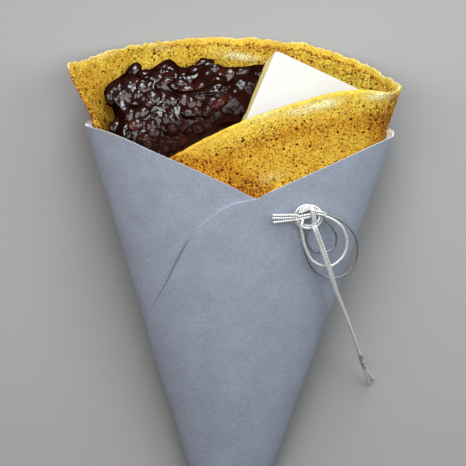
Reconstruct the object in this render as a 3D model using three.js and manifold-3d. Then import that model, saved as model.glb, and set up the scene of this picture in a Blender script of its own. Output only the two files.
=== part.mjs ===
// Crepe cone: a thin pancake folded double and rolled into a flat cone round sweet red bean paste and a
// slab of butter, in a wound paper sleeve with a knotted paper cord. Millimetres. The cone lies on its back
// with its tip towards -Y, its mouth towards +Y and its front up; the origin is under the middle of its box.
import * as THREE from "three";
import { RoundedBoxGeometry } from "three/addons/geometries/RoundedBoxGeometry.js";
import { mergeVertices } from "three/addons/utils/BufferGeometryUtils.js";
import Module from "manifold-3d";

const wasm = await Module();
wasm.setup();

const smooth = THREE.MathUtils.smoothstep;
const degrees = THREE.MathUtils.degToRad;
const mix = THREE.MathUtils.lerp;

// Where the tip lies from the origin.
const TIP = [2.95, -106.7, 0];

// Cone: width and depth for each millimetre from the tip, and the form of its oval section.
const HALF_WIDTH = 0.332;
const DEPTH = 0.3;
const WIDEST = 0.47; // height of the widest line, as a share of the depth
const BACK_DROP = 0.5; // reach of the back below that line, cut off where it lies flat
const BACK_SQUARENESS = 2.5;

// Paper sleeve.
const PAPER = 0.5;
const SHEET_RADIUS = 187.5;
const SLEEVE_TIP = 2;
const SLEEVE_FLOOR = 14; // the inside starts this far from the tip
const FLAP_END = 20; // where the outer flap has run out into the wall, in degrees
const FLAP_LOW = 0.46; // the flap's lowest row, as a share of the rim's distance from the tip
const FLAP_HIGH = 0.997; // and its highest row
const FLAP_FADE = 0.2; // share of the flap's height over which its foot runs out into the wall
const FLAP_SINK = 0.1; // how deep the flap has sunk into the wall where it has run out

// Crepe: two layers with a gap to the paper.
const LAYER = 1.4;
const PAPER_GAP = 0.5;
const CREPE_TIP = 27;
const POCKET_FLOOR = 112;
const LAYER_STEP = 2.6; // how far the inner layer's edge lies below the outer one's
const SIDE_SLACK = 2.3; // extra room between crepe and paper at the two sides of the mouth
const CORNER_FLARE = 3.8; // how far the left corner leans out past the cone

// Filling.
const FILLING_GAP = 0.55;
const BEAN = [3.8, 2.6, 2.2];
const BEAN_STEP = 6.5;
const BEAN_JITTER = 2.2;
const BEAN_ROWS = 8;
const BEAN_COLUMNS = 10;
const SLAB = [37, 36, 9];
const SLAB_CORNER = [12.9, 206.6, 25]; // top corner of the slab's upper face
const SLAB_EDGE = [-0.367, -0.93]; // heading of its left edge, seen from above
const SLAB_TILT = 26;
const SLAB_ROLL = 5;
const SLAB_DRAFT = 1.4; // how far the left side slopes out below the upper face
const SLAB_ROUNDING = 0.7;
const SLAB_GAP = 0.35;

// Paper cord, on a plane that touches the sleeve's front at the knot.
const CORD = 1.0;
const KNOT = [26.8, 143.7];
const KNOT_HALF = [4.3, 3.75];
const KNOT_START = degrees(190);
const KNOT_TURNS = 2;
const KNOT_CROSSINGS = 5;
const KNOT_LEAN = 0.75; // how far the strands swing out and in as they cross
const KNOT_WEAVE = 0.62; // how far they swing up and down
const STUB = 8;

const SIDES = 72;

// Smooth curve through knots [x, y]: a cubic piece between each two, sloping as its neighbours' chord.
function curveThrough(knots, x) {
  const last = knots.length - 1;
  let i = 0;
  while (i < last - 1 && x > knots[i + 1][0]) i += 1;
  const slope = (k) => {
    const a = knots[Math.max(k - 1, 0)];
    const b = knots[Math.min(k + 1, last)];
    return (b[1] - a[1]) / (b[0] - a[0]);
  };
  const [x0, y0] = knots[i];
  const [x1, y1] = knots[i + 1];
  const span = x1 - x0;
  const t = THREE.MathUtils.clamp((x - x0) / span, 0, 1);
  const s = t * t * (3 - 2 * t);
  const lean = t * (1 - t) * span;
  return y0 + (y1 - y0) * s + lean * ((1 - t) * slope(i) - t * slope(i + 1));
}

// Seeded draw from 0 to 1 (mulberry32).
function seeded(seed) {
  let state = seed;
  return () => {
    state = (state + 0x6d2b79f5) | 0;
    let t = Math.imul(state ^ (state >>> 15), 1 | state);
    t = (t + Math.imul(t ^ (t >>> 7), 61 | t)) ^ t;
    return ((t ^ (t >>> 14)) >>> 0) / 4294967296;
  };
}

// Point of the cone: turn (degrees) goes from the right side (0) over the front (90) to the left side (180)
// and along the back; along is the distance from the tip in Y, and inset moves the point in, square to it.
function conePoint(turn, along, inset) {
  const across = Math.cos(degrees(turn));
  const front = Math.sin(degrees(turn)) >= 0;
  const power = front ? 2 : BACK_SQUARENESS;
  const halfWidth = HALF_WIDTH * along;
  const reach = DEPTH * along * (front ? 1 - WIDEST : BACK_DROP);
  const size = Math.max(1 - Math.abs(across) ** power, 0) ** (1 / power);
  const rise = front ? size : -size;
  const nx = (Math.sign(across) * Math.abs(across) ** (power - 1)) / halfWidth;
  const nz = (Math.sign(rise) * size ** (power - 1)) / reach;
  const length = Math.hypot(nx, nz);
  const x = halfWidth * across - (inset * nx) / length;
  const z = WIDEST * DEPTH * along + reach * rise - (inset * nz) / length;
  return new THREE.Vector3(x, along, Math.max(z, inset, 0));
}

// Closed solid from rings of equal length: each ring joined to the next, and the two end rings filled in.
function loft(rings) {
  const count = rings[0].length;
  const points = rings.flat();
  const index = [];
  for (let r = 0; r < rings.length - 1; r += 1) {
    for (let i = 0; i < count; i += 1) {
      const a = r * count + i;
      const b = r * count + ((i + 1) % count);
      index.push(a, b + count, b, a, a + count, b + count);
    }
  }
  [0, rings.length - 1].forEach((r) => {
    const centre = rings[r].reduce((sum, p) => sum.add(p), new THREE.Vector3()).divideScalar(count);
    points.push(centre);
    for (let i = 0; i < count; i += 1) {
      const a = r * count + i;
      const b = r * count + ((i + 1) % count);
      index.push(...(r === 0 ? [a, b, points.length - 1] : [b, a, points.length - 1]));
    }
  });
  return new THREE.BufferGeometry().setFromPoints(points).setIndex(index);
}

// Closed solid between two surfaces over a grid of u and v from 0 to 1: a box with bent faces.
function between(columns, rows, upper, lower) {
  const geometry = new THREE.BoxGeometry(1, 1, 1, columns, rows, 1);
  const position = geometry.attributes.position;
  for (let i = 0; i < position.count; i += 1) {
    const u = position.getX(i) + 0.5;
    const v = position.getY(i) + 0.5;
    const point = position.getZ(i) > 0 ? upper(u, v) : lower(u, v);
    position.setXYZ(i, point.x, point.y, point.z);
  }
  return geometry;
}

// Tube with a round section of few sides along a smooth curve through the points.
function tube(points, diameter, steps, sides = 8) {
  const section = new THREE.Shape();
  for (let i = 0; i < sides; i += 1) {
    const angle = ((i + 0.5) / sides) * 2 * Math.PI;
    const x = (diameter / 2) * Math.cos(angle);
    const y = (diameter / 2) * Math.sin(angle);
    if (i === 0) section.moveTo(x, y);
    else section.lineTo(x, y);
  }
  section.closePath();
  const extrudePath = new THREE.CatmullRomCurve3(points);
  return new THREE.ExtrudeGeometry(section, { steps, extrudePath, bevelEnabled: false });
}

// Geometry to a solid that can be joined and cut, turned outwards if it came inside out, and back.
function solid(geometry) {
  const bare = geometry.clone();
  bare.deleteAttribute("normal");
  bare.deleteAttribute("uv");
  const merged = mergeVertices(bare, 1e-4);
  const triVerts = new Uint32Array(merged.index.array);
  const vertProperties = merged.attributes.position.array;
  const make = () => new wasm.Manifold(new wasm.Mesh({ numProp: 3, vertProperties, triVerts }));
  const made = make();
  if (made.volume() > 0) return made;
  for (let i = 0; i < triVerts.length; i += 3) {
    const second = triVerts[i + 1];
    triVerts[i + 1] = triVerts[i + 2];
    triVerts[i + 2] = second;
  }
  return make();
}

function geometryOf(made) {
  const { vertProperties, triVerts } = made.getMesh();
  return new THREE.BufferGeometry()
    .setAttribute("position", new THREE.BufferAttribute(vertProperties, 3))
    .setIndex(new THREE.BufferAttribute(triVerts, 1));
}

const ring = (pointAt, sides = SIDES) =>
  Array.from({ length: sides }, (_, i) => pointAt((i * 360) / sides));

// Paper sleeve ------------------------------------------------------------------------------------------
// The front rim falls in a V from both sides; knots are [share of the half width, distance from the tip].
const FRONT_RIM = [
  [-1, 175.9],
  [-0.84, 173.2],
  [-0.55, 165.8],
  [-0.07, 154.8],
  [0.14, 150.2],
  [0.34, 155.3],
  [0.67, 164.5],
  [0.92, 172.4],
  [1, 175],
];

// The flap's free edge; knots are [share of the rim's distance, turn].
const FLAP_EDGE = [
  [0.4, 225],
  [0.585, 165],
  [0.628, 148],
  [0.679, 135],
  [0.747, 124],
  [0.844, 111],
  [0.949, 94],
  [1, 82],
];

// Behind, the sheet's round edge stays a sheet's radius from the tip.
function sleeveRim(turn) {
  if (Math.sin(degrees(turn)) >= 0) return curveThrough(FRONT_RIM, Math.cos(degrees(turn)));
  const unit = conePoint(turn, 1, 0);
  return SHEET_RADIUS / unit.length();
}

function paperSleeve() {
  const wall = loft([
    ring((turn) => conePoint(turn, SLEEVE_TIP, 0)),
    ring((turn) => conePoint(turn, sleeveRim(turn), 0)),
    ring((turn) => conePoint(turn, sleeveRim(turn), PAPER)),
    ring((turn) => conePoint(turn, SLEEVE_FLOOR, PAPER)),
  ]);
  const share = (v) => mix(FLAP_LOW, FLAP_HIGH, v);
  const flapTurn = (u, v) => mix(curveThrough(FLAP_EDGE, share(v)), FLAP_END, u);
  const flapPoint = (u, v, inset) => conePoint(flapTurn(u, v), share(v) * sleeveRim(flapTurn(u, v)), inset);
  const flapRise = (u, v) => mix(-FLAP_SINK, mix(PAPER, -FLAP_SINK, u), smooth(v, 0, FLAP_FADE));
  const upper = (u, v) => flapPoint(u, v, -flapRise(u, v));
  const flap = between(24, 16, upper, (u, v) => flapPoint(u, v, 0.54 * PAPER));
  return geometryOf(solid(wall).add(solid(flap)));
}

// Crepe -------------------------------------------------------------------------------------------------
// Rim of the rolled crepe; knots are [turn, distance from the tip]. The front panel's edge runs from the
// fold on the right down to the left, and the left edge climbs back to the corner of the fan.
const CREPE_RIM = [
  [-14, 196],
  [-7, 195.2],
  [0, 194.4],
  [9, 193.5],
  [17, 191.9],
  [26, 191.7],
  [43, 192.2],
  [58, 190.2],
  [83, 181.8],
  [104, 171.9],
  [120, 164.6],
  [150, 158],
  [166, 164],
  [176, 180],
  [190, 198.3],
  [199, 199.6],
  [207, 201.5],
  [243, 208.9],
  [270, 211],
  [290, 209.6],
  [319, 201.1],
  [334, 197.8],
  [346, 196],
  [353, 195.2],
  [360, 194.4],
];

// The free rim behind is ragged; the fold in front is smooth.
function crepeRim(turn) {
  const back = smooth(turn, 195, 205) * (1 - smooth(turn, 335, 345));
  const a = degrees(turn);
  const ragged = 0.45 * Math.sin(23 * a) + 0.35 * Math.sin(37 * a + 1) + 0.3 * Math.sin(9 * a + 2);
  return curveThrough(CREPE_RIM, turn) + back * ragged;
}

// Distance from the cone's surface to the crepe's outside.
function crepeInset(turn, along) {
  const side = Math.abs(Math.cos(degrees(turn))) ** 6;
  const slack = SIDE_SLACK * side * smooth(along, 140, 175);
  const left = Math.cos(degrees(turn)) < 0 ? side : 0;
  const flare = (CORNER_FLARE + SIDE_SLACK * 0.5) * left * smooth(along, 176, 202);
  return PAPER + PAPER_GAP + slack - flare;
}

const crepePoint = (turn, along, depth) => conePoint(turn, along, crepeInset(turn, along) + depth);

function crepe() {
  const outer = [0, 0.45, 0.72, 0.84, 0.92, 1].map((f) =>
    ring((turn) => crepePoint(turn, mix(CREPE_TIP, crepeRim(turn), f), 0)),
  );
  const inner = [1, 0.92, 0.84, 0.72, 0.45, 0].map((f) =>
    ring((turn) => crepePoint(turn, mix(POCKET_FLOOR, crepeRim(turn) - LAYER_STEP, f), 2 * LAYER)),
  );
  const lip = [0, LAYER_STEP].map((below) =>
    ring((turn) => crepePoint(turn, crepeRim(turn) - below, LAYER)),
  );
  return loft([...outer, ...lip, ...inner]);
}

// Filling -----------------------------------------------------------------------------------------------
// Room inside the crepe, carried on past its rim.
function pocket(gap) {
  const alongs = [POCKET_FLOOR + 2, 150, 165, 177, 188, 200, 216];
  const section = (along) => ring((turn) => crepePoint(turn, along, 2 * LAYER + gap), SIDES / 2);
  return solid(loft(alongs.map(section)));
}

// Fall of the heap's open face from the sleeve's rim to the rim of the crepe; knots are [y, height].
const HEAP_SLOPE = [
  [POCKET_FLOOR, 42],
  [150, 42],
  [163, 39],
  [176, 33],
  [190, 22.5],
  [200, 14],
  [206, 9],
];

// Far edge of the heap, and its near edge, where its face goes under the front panel; knots are [x, y].
const HEAP_EDGE = [
  [-60, 174],
  [-52, 189.5],
  [-41, 198.4],
  [-28.5, 202.4],
  [-18, 200],
  [9, 201.6],
  [24, 194],
  [38, 187],
  [52, 172],
];
const HEAP_FRONT = [
  [-52, 174],
  [-40, 167],
  [-27, 162.5],
  [-14, 169.5],
  [9, 182],
];

// Height of the heap's open face, which is lumpy and falls away to the left wall.
function heapTop(x, y) {
  const side = 5 * ((x + 14) / 34) ** 2;
  const lumps = 0.8 * Math.sin(x / 3.1 + 1) * Math.sin(y / 3.7) + 0.6 * Math.sin(x / 1.9 + y / 2.7);
  return curveThrough(HEAP_SLOPE, y) - side + lumps;
}

function slabFrame() {
  const tilt = degrees(SLAB_TILT);
  const flat = Math.cos(tilt);
  const down = new THREE.Vector3(SLAB_EDGE[0] * flat, SLAB_EDGE[1] * flat, Math.sin(tilt));
  const level = new THREE.Vector3(-SLAB_EDGE[1], SLAB_EDGE[0], -Math.tan(degrees(SLAB_ROLL)));
  const along = down.normalize();
  const across = level.sub(along.clone().multiplyScalar(level.dot(along))).normalize();
  const up = new THREE.Vector3().crossVectors(across, along.clone().negate());
  return new THREE.Matrix4()
    .makeBasis(across, along.negate(), up)
    .setPosition(...SLAB_CORNER);
}

// Slab with its upper face's top left corner at the frame's origin, grown by gap on every side.
function slab(gap) {
  const [width, length, height] = SLAB;
  const sizes = SLAB.map((side) => side + 2 * gap);
  const geometry = new RoundedBoxGeometry(...sizes, 2, SLAB_ROUNDING);
  const position = geometry.attributes.position;
  for (let i = 0; i < position.count; i += 1) {
    const share = 0.5 - position.getZ(i) / height;
    if (position.getX(i) < 0) position.setX(i, position.getX(i) - SLAB_DRAFT * share);
  }
  geometry.translate(width / 2, -length / 2, -height / 2);
  return geometry.applyMatrix4(slabFrame());
}

// Whole beans on the open face, on a jittered grid between the heap's two edges and left of the slab.
function beans() {
  const draw = seeded(11);
  const made = [];
  const slabSide = (y) => SLAB_CORNER[0] + (SLAB_EDGE[0] / SLAB_EDGE[1]) * (y - SLAB_CORNER[1]);
  for (let row = 0; row < BEAN_ROWS; row += 1) {
    for (let column = 0; column < BEAN_COLUMNS; column += 1) {
      const x = HEAP_FRONT[0][0] + (column + 0.5 * (row % 2)) * BEAN_STEP + (draw() - 0.5) * BEAN_JITTER;
      const y = HEAP_FRONT[2][1] + row * BEAN_STEP * 0.8 + (draw() - 0.5) * BEAN_JITTER;
      const size = 0.85 + 0.3 * draw();
      const turn = new THREE.Euler((draw() - 0.5) * 1.4, (draw() - 0.5) * 1.4, draw() * Math.PI);
      const rise = draw() - 0.2;
      const beyond = y < curveThrough(HEAP_FRONT, x) || y > curveThrough(HEAP_EDGE, x) + 1;
      if (beyond || x > slabSide(y)) continue;
      const bean = new THREE.SphereGeometry(1, 6, 5).rotateZ(Math.PI / 2);
      bean.scale(...BEAN.map((half) => half * size));
      bean.applyMatrix4(new THREE.Matrix4().makeRotationFromEuler(turn));
      bean.translate(x, y, heapTop(x, y) + rise);
      made.push(solid(bean));
    }
  }
  return made;
}

function beanPaste() {
  const ends = [HEAP_EDGE[0][0], HEAP_EDGE.at(-1)[0]];
  const spread = (u, v) => [mix(...ends, u), mix(POCKET_FLOOR - 4, 208, v)];
  const face = (u, v) => {
    const [x, y] = spread(u, v);
    return new THREE.Vector3(x, y, heapTop(x, y));
  };
  const bottom = (u, v) => new THREE.Vector3(...spread(u, v), -5);
  const outline = new THREE.Shape([new THREE.Vector2(ends[0], POCKET_FLOOR)]);
  for (let x = ends[0]; x <= ends[1]; x += 4) outline.lineTo(x, curveThrough(HEAP_EDGE, x));
  outline.lineTo(ends[1], POCKET_FLOOR);
  const column = new THREE.ExtrudeGeometry(outline, { depth: 80, bevelEnabled: false });
  column.translate(0, 0, -10);
  const core = solid(between(18, 16, face, bottom)).intersect(solid(column));
  const heap = beans().reduce((sum, bean) => sum.add(bean), core);
  const made = heap.intersect(pocket(FILLING_GAP)).subtract(solid(slab(SLAB_GAP)));
  const largest = made.decompose().reduce((a, b) => (a.volume() > b.volume() ? a : b));
  return geometryOf(largest);
}

// Paper cord --------------------------------------------------------------------------------------------
// Plane that touches the sleeve's front at the knot.
const across = KNOT[0] / (HALF_WIDTH * KNOT[1]);
const edge = Math.sqrt(1 - across ** 2);
const front = DEPTH * (1 - WIDEST);
const plane = {
  height: conePoint(THREE.MathUtils.radToDeg(Math.acos(across)), KNOT[1], -PAPER).z + CORD / 2 + 0.4,
  slopeX: (-front * across) / edge / HALF_WIDTH,
  slopeY: DEPTH * WIDEST + front * edge + (front * across ** 2) / edge,
};

function onPlane([x, y, lift]) {
  const z = plane.height + plane.slopeX * (x - KNOT[0]) + plane.slopeY * (y - KNOT[1]) + lift;
  return new THREE.Vector3(x, y, z);
}

// Routes in the plane: [x, y, lift above it].
const LARGE_LOOP = [
  [24.6, 138.6, 0.2],
  [24.9, 135.6, 0.1],
  [25.4, 132.2, 0],
  [26.2, 129.2, 0],
  [27.9, 125.7, 0],
  [30.5, 122.7, 0],
  [34.6, 121, 0],
  [38.5, 121, 0],
  [42.7, 123.2, 0],
  [45.2, 127.3, 0],
  [45.8, 131.6, 0],
  [45.3, 135.3, 0],
  [43.3, 139, 0],
  [39.5, 142.6, 0],
  [36, 144.2, 0.1],
  [33.1, 145.1, 0.3],
];
const SMALL_LOOP = [
  [26.2, 138.1, 1.5],
  [26.3, 135.5, 1.4],
  [27.2, 132.8, 1.4],
  [29, 130.8, 1.4],
  [31.4, 130.3, 1.4],
  [34.1, 130.6, 1.4],
  [36.5, 132.1, 1.4],
  [37.6, 134.4, 1.4],
  [37.5, 137.2, 1.4],
  [35.9, 139.9, 1.4],
  [34.3, 141.6, 1.4],
  [32.8, 142.8, 1.3],
];
const MIDDLE_LOOP = [
  [24.2, 138.9, 2.9],
  [24.8, 136.5, 2.8],
  [25.5, 133.4, 2.8],
  [26.6, 130.6, 2.8],
  [28.8, 127.2, 2.8],
  [32.4, 125.4, 2.8],
  [36.2, 125.5, 2.8],
  [39.6, 128.1, 2.8],
  [41.3, 131.1, 2.8],
  [41.7, 134.5, 2.8],
  [41.2, 137.1, 2.8],
  [39.6, 140.2, 2.8],
  [37.3, 142.2, 2.7],
  [35, 143.5, 2.2],
  [33.3, 144, 1.7],
];

// Middle line of the two tail cords: [x, y, z]. They lean from the knot to the surface under the cone.
const TAIL = [
  [29.9, 138.3, 41.2],
  [32.2, 132.6, 38.9],
  [33.9, 128.2, 37.4],
  [35.7, 123.2, 35.1],
  [38.1, 116.2, 30.8],
  [41.2, 109, 24.3],
  [44.3, 101.4, 18],
  [46.8, 95, 12.5],
  [48.6, 90.5, 8.7],
  [50.5, 85.8, 4.9],
];
const TAIL_SPREAD = 0.68; // half the distance between the two cords' middles
const TAIL_TURN = degrees(21); // they lie side by side along this heading
const TAIL_TIPS = [
  [51.7, 80.8, 0.6],
  [53.4, 82.8, 0.6],
];
const BINDING_SHARE = [0.8, 0.91]; // stretch of the tail that the thread is wound on

function tailRoute(side) {
  const apart = new THREE.Vector3(Math.cos(TAIL_TURN), Math.sin(TAIL_TURN), 0);
  const route = TAIL.map((point) => new THREE.Vector3(...point).addScaledVector(apart, side * TAIL_SPREAD));
  const tip = TAIL_TIPS[side < 0 ? 0 : 1];
  return [...route, new THREE.Vector3(...tip)];
}

// Knot: a cord that runs round twice as a flat interlaced ring, crossed inside by short ones, with three
// cut ends.
function cordKnot() {
  const strand = Array.from({ length: 49 }, (_, i) => {
    const angle = KNOT_START + (i / 48) * (KNOT_TURNS * 2 * Math.PI - 0.12);
    const phase = (KNOT_CROSSINGS / KNOT_TURNS) * (angle - KNOT_START);
    const x = KNOT[0] + (KNOT_HALF[0] + KNOT_LEAN * Math.cos(phase)) * Math.cos(angle);
    const y = KNOT[1] + (KNOT_HALF[1] + KNOT_LEAN * Math.cos(phase)) * Math.sin(angle);
    return onPlane([x, y, 1 + KNOT_WEAVE * Math.sin(phase)]);
  });
  const inner = [
    [[28.3, 147.2, 1], [28.6, 145.2, 1.6], [28.3, 143.2, 1.6], [29, 140.6, 1]],
    [[22.6, 142.9, 1], [24.6, 143.3, 1.6], [27, 143.7, 1.9], [28.5, 144, 1]],
    [[23.2, 144.9, 1], [24.9, 145, 1.5], [26.6, 146.3, 1.5], [27.4, 147.6, 1]],
  ];
  const stubs = [-0.95, 0, 0.95].map((offset) => [
    [KNOT[0] - KNOT_HALF[0] - 0.4, KNOT[1] + 0.4 * offset, 1],
    [KNOT[0] - KNOT_HALF[0] - 1.6, KNOT[1] + 0.95 * offset, 1],
    [KNOT[0] - KNOT_HALF[0] - STUB - 0.6, KNOT[1] - 0.9 + offset, 0.9],
  ]);
  const ringTube = solid(tube(strand, CORD, 44));
  const rest = [...inner, ...stubs].map((points) => solid(tube(points.map(onPlane), CORD, 4)));
  return geometryOf(rest.reduce((sum, piece) => sum.add(piece), ringTube));
}

function binding() {
  const routes = [-1, 1].map((side) => new THREE.CatmullRomCurve3(tailRoute(side)));
  const middle = (share) => {
    const [left, right] = routes.map((route) => route.getPointAt(share));
    return left.add(right).multiplyScalar(0.5);
  };
  return new THREE.CatmullRomCurve3([middle(BINDING_SHARE[0]), middle(BINDING_SHARE[1])]);
}

// Oval sleeve of thread round both cords, open at its two ends.
function tailBinding() {
  const path = binding();
  const start = path.getPoint(0);
  const heading = path.getPoint(1).sub(start);
  const reach = heading.length();
  const turn = new THREE.Quaternion().setFromUnitVectors(new THREE.Vector3(0, -1, 0), heading.normalize());
  const place = (along, half) =>
    Array.from({ length: 20 }, (_, i) => {
      const angle = (i / 20) * 2 * Math.PI;
      const point = new THREE.Vector3(half[0] * Math.cos(angle), -along * reach, half[1] * Math.sin(angle));
      return point.applyQuaternion(turn).add(start);
    });
  const outer = [CORD / 2 + TAIL_SPREAD + 0.75, CORD / 2 + 0.75];
  const inner = [CORD / 2 + TAIL_SPREAD + 0.3, CORD / 2 + 0.3];
  const sleeve = solid(loft([place(0, outer), place(1, outer)]));
  return geometryOf(sleeve.subtract(solid(loft([place(-0.1, inner), place(1.1, inner)]))));
}

// The model ---------------------------------------------------------------------------------------------
const paper = new THREE.MeshStandardMaterial({ color: 0x8e97a8, roughness: 0.9 });
const golden = new THREE.MeshStandardMaterial({ color: 0xd59a35, roughness: 0.7 });
const bean = new THREE.MeshStandardMaterial({ color: 0x2e1410, roughness: 0.15 });
const butter = new THREE.MeshStandardMaterial({ color: 0xfdf8e4, roughness: 0.5 });
const silver = new THREE.MeshStandardMaterial({ color: 0xd8d8d6, roughness: 0.35, metalness: 0.6 });

const cone = new THREE.Group();
cone.position.set(...TIP);

function add(name, geometry, material) {
  const mesh = new THREE.Mesh(geometry, material);
  mesh.name = name;
  cone.add(mesh);
}

add("paper_sleeve", paperSleeve(), paper);
add("crepe", crepe(), golden);
add("bean_paste", beanPaste(), bean);
add("butter_slab", slab(0), butter);
add("cord_knot", cordKnot(), silver);
add("cord_loop_large", tube(LARGE_LOOP.map(onPlane), CORD, 24), silver);
add("cord_loop_middle", tube(MIDDLE_LOOP.map(onPlane), CORD, 22), silver);
add("cord_loop_small", tube(SMALL_LOOP.map(onPlane), CORD, 14), silver);
add("cord_tail_left", tube(tailRoute(-1), CORD, 24), silver);
add("cord_tail_right", tube(tailRoute(1), CORD, 24), silver);
add("tail_binding", tailBinding(), silver);

const model = new THREE.Group();
model.add(cone);

export default model;
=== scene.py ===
import math

import bpy
import numpy as np
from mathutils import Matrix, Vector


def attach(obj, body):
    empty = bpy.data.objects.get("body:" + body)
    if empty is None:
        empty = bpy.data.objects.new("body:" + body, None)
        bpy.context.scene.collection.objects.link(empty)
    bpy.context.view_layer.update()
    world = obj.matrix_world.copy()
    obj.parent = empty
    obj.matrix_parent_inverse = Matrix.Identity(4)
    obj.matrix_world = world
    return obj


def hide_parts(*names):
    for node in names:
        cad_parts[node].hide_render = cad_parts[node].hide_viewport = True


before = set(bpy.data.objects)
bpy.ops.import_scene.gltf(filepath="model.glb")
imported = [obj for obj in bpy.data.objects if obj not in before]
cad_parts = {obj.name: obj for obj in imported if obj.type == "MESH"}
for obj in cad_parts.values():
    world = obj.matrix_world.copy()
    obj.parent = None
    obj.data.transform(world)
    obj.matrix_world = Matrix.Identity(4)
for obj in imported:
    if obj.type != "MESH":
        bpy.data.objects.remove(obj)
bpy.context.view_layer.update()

# Camera ------------------------
# The cone lies on its back, so the camera looks straight down on its front through a very long lens, and the
# cone leans a little to the right. Lengths are millimetres, and MM turns them into metres.
MM = 0.001
TIP = np.array([2.95, -106.7, 0.0])  # the cone's tip, from the origin
VIEW_CENTRE = (1.47, 30.1)
VIEW_WIDTH = 177.3
VIEW_LEAN = 1.575
VIEW_HEIGHT = 6000


def new_object(name, data):
    """Object in the scene, at the origin."""
    made = bpy.data.objects.new(name, data)
    bpy.context.scene.collection.objects.link(made)
    return made


lens = bpy.data.cameras.new("camera")
lens.sensor_width = 36
lens.lens = lens.sensor_width * VIEW_HEIGHT / VIEW_WIDTH
camera = new_object("camera", lens)
camera.location = (VIEW_CENTRE[0] * MM, VIEW_CENTRE[1] * MM, VIEW_HEIGHT * MM)
camera.rotation_euler = (0, 0, math.radians(VIEW_LEAN))
bpy.context.scene.camera = camera
bpy.context.scene.view_settings.view_transform = "Standard"

# Paper cord ------------------------
# Stiff paper cord with silver film wound round it, glued to the front of the sleeve: a flat knot, three
# loops, and a pair of long ends held together by a winding of thread. Points are millimetres from the tip.
HALF_WIDTH = 0.332  # cone's half width and depth for each millimetre from the tip
DEPTH = 0.3
WIDEST = 0.47  # height of the widest line, as a share of the depth
BACK_DROP = 0.5  # reach of the back below that line
BACK_SQUARENESS = 2.5
PAPER = 0.5  # thickness of the sleeve's sheet

CORD = 1.0
CORD_CLEAR = 0.4  # between the lowest cords and the paper, at the knot
FILM_PITCH = 0.85
FILM_GROOVE = 0.11  # depth between two turns of film, as a share of the radius
CORD_STEP = 0.11
CORD_SIDES = 14
KNOT = (26.8, 143.7)
KNOT_HALF = (4.7, 3.85)
SILVER = (0.93, 0.93, 0.91)
SILVER_GROOVE = (0.06, 0.06, 0.065)
# Darker copy of the film for the large and small loops: painted shade.
SHADED_SILVER = (0.40, 0.40, 0.40)
SHADED_SILVER_GROOVE = (0.05, 0.05, 0.055)
THREAD = (0.10, 0.10, 0.11)
THREAD_PALE = (0.6, 0.6, 0.6)

LARGE_LOOP = [
    (24.6, 138.6, 0.2), (24.9, 135.6, 0.1), (25.4, 132.2, 0), (26.2, 129.2, 0), (27.9, 125.7, 0),
    (30.5, 122.7, 0), (34.6, 121, 0), (38.5, 121, 0), (42.7, 123.2, 0), (45.2, 127.3, 0), (45.8, 131.6, 0),
    (45.3, 135.3, 0), (43.3, 139, 0), (39.5, 142.6, 0), (36, 144.2, 0.1), (33.1, 145.1, 0.3),
]
SMALL_LOOP = [
    (26.2, 138.1, 1.5), (26.3, 135.5, 1.4), (27.2, 132.8, 1.4), (29, 130.8, 1.4), (31.4, 130.3, 1.4),
    (34.1, 130.6, 1.4), (36.5, 132.1, 1.4), (37.6, 134.4, 1.4), (37.5, 137.2, 1.4), (35.9, 139.9, 1.4),
    (34.3, 141.6, 1.4), (32.8, 142.8, 1.3),
]
MIDDLE_LOOP = [
    (24.2, 138.9, 2.9), (24.8, 136.5, 2.8), (25.5, 133.4, 2.8), (26.6, 130.6, 2.8), (28.8, 127.2, 2.8),
    (32.4, 125.4, 2.8), (36.2, 125.5, 2.8), (39.6, 128.1, 2.8), (41.3, 131.1, 2.8), (41.7, 134.5, 2.8),
    (41.2, 137.1, 2.8), (39.6, 140.2, 2.8), (37.3, 142.2, 2.7), (35, 143.5, 2.2), (33.3, 144, 1.7),
]
TAIL = [
    (29.9, 138.3, 41.2), (32.2, 132.6, 38.9), (33.9, 128.2, 37.4), (35.7, 123.2, 35.1), (38.1, 116.2, 30.8),
    (41.2, 109, 24.3), (44.3, 101.4, 18), (46.8, 95, 12.5), (48.6, 90.5, 8.7), (50.5, 85.8, 4.9),
]
TAIL_TIPS = [(51.7, 80.8, 0.6), (53.4, 82.8, 0.6)]
TAIL_SPREAD = 0.5  # half the distance between the pair's middle lines
TAIL_START = (28.9, 140.7, 41.4)
# Degrees that the pair is turned on edge, one cord over the other, at each point of the tail.
TAIL_ON_EDGE = [0, 0, 0, 10, 25, 45, 65, 80, 80, 72, 50]
TAIL_TURN = math.radians(21)
BINDING_SHARE = (0.8, 0.91)  # where the winding starts and ends, as shares of the pair's length
BINDING_WIDE = 0.9  # half width, without the thread's bulge
THREAD_PITCH = 0.42
THREAD_BULGE = 0.1
THREAD_STEP = 0.05


def signed_power(value, power):
    """The value's size raised to the power, with the value's own sign."""
    return np.sign(value) * np.abs(value) ** power


def cone_point(turn, along, inset):
    """Point of the cone. Its section is an oval whose half width and depth grow with the distance along
    from the tip, round in front, squarer behind, flat where it lies; inset moves the point squarely in."""
    across = np.cos(np.radians(turn))
    front = np.sin(np.radians(turn)) >= 0
    power = np.where(front, 2, BACK_SQUARENESS)
    half_width = HALF_WIDTH * along
    reach = DEPTH * along * np.where(front, 1 - WIDEST, BACK_DROP)
    size = np.maximum(1 - np.abs(across) ** power, 0) ** (1 / power)
    rise = np.where(front, size, -size)
    lean_x = signed_power(across, power - 1) / half_width
    lean_z = signed_power(rise, power - 1) / reach
    length = np.hypot(lean_x, lean_z)
    x = half_width * across - inset * lean_x / length
    z = WIDEST * DEPTH * along + reach * rise - inset * lean_z / length
    z = np.maximum(z, np.maximum(inset, 0))
    return np.stack(np.broadcast_arrays(x, along, z), axis=-1)


def unit(vectors):
    """Vectors cut to length one."""
    return vectors / np.linalg.norm(vectors, axis=-1, keepdims=True)


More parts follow.
